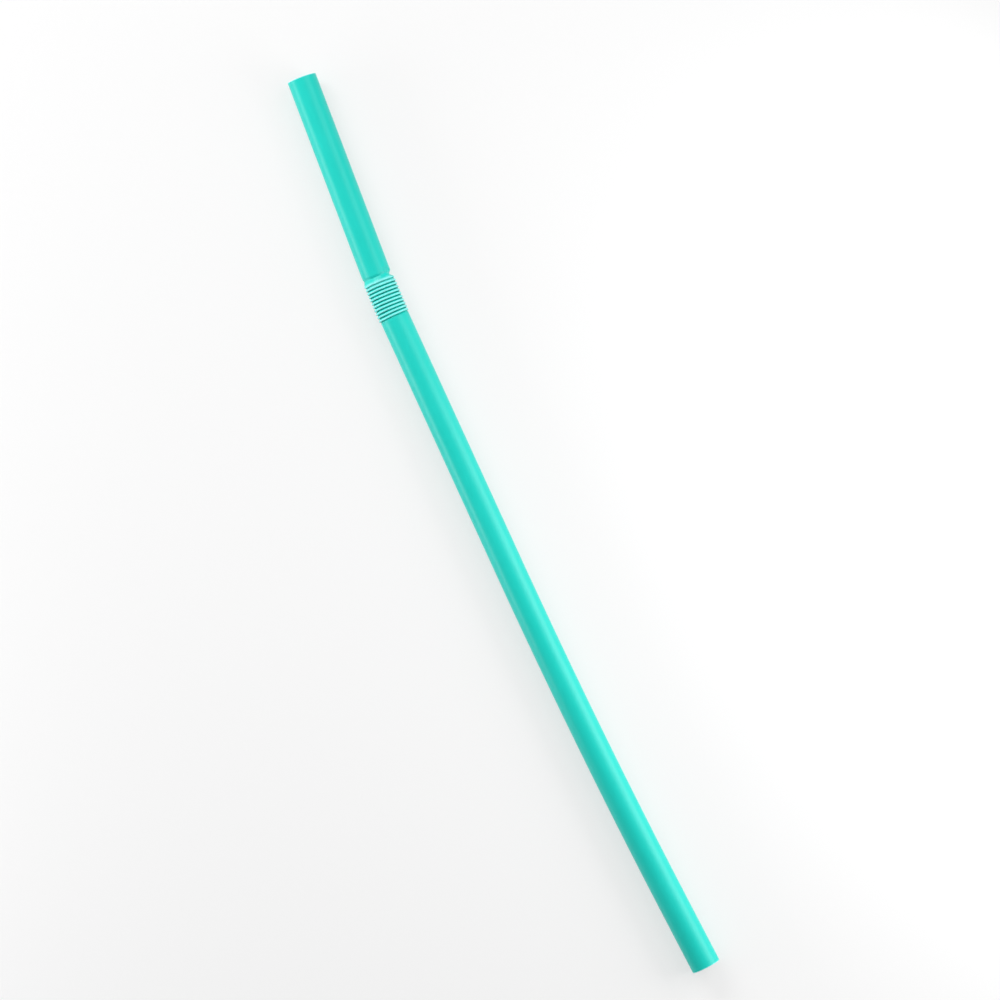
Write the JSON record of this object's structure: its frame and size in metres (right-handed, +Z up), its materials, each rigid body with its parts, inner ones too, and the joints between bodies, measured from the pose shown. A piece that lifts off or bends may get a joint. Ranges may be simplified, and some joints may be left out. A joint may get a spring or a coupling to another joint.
{
  "type": "flexible drinking straw",
  "caption": "Round plastic drinking straw, open at both ends, with a band of folded pleats near the mouth end so that it can bend.",
  "frame": {"origin": "centre of the lower opening, on the tube's axis", "axes": "+X out of that opening into the tube and along the straw towards the mouth end, +Z up from the surface it lies on, +Y to its left side; the straw's slight bends all turn towards -Y"},
  "size_m": [0.1969, 0.0164, 0.0064],
  "materials": {
    "straw": "satin, slightly translucent"
  },
  "bodies": {
    "root": {"straw": "straw"}
  },
  "joints": []
}
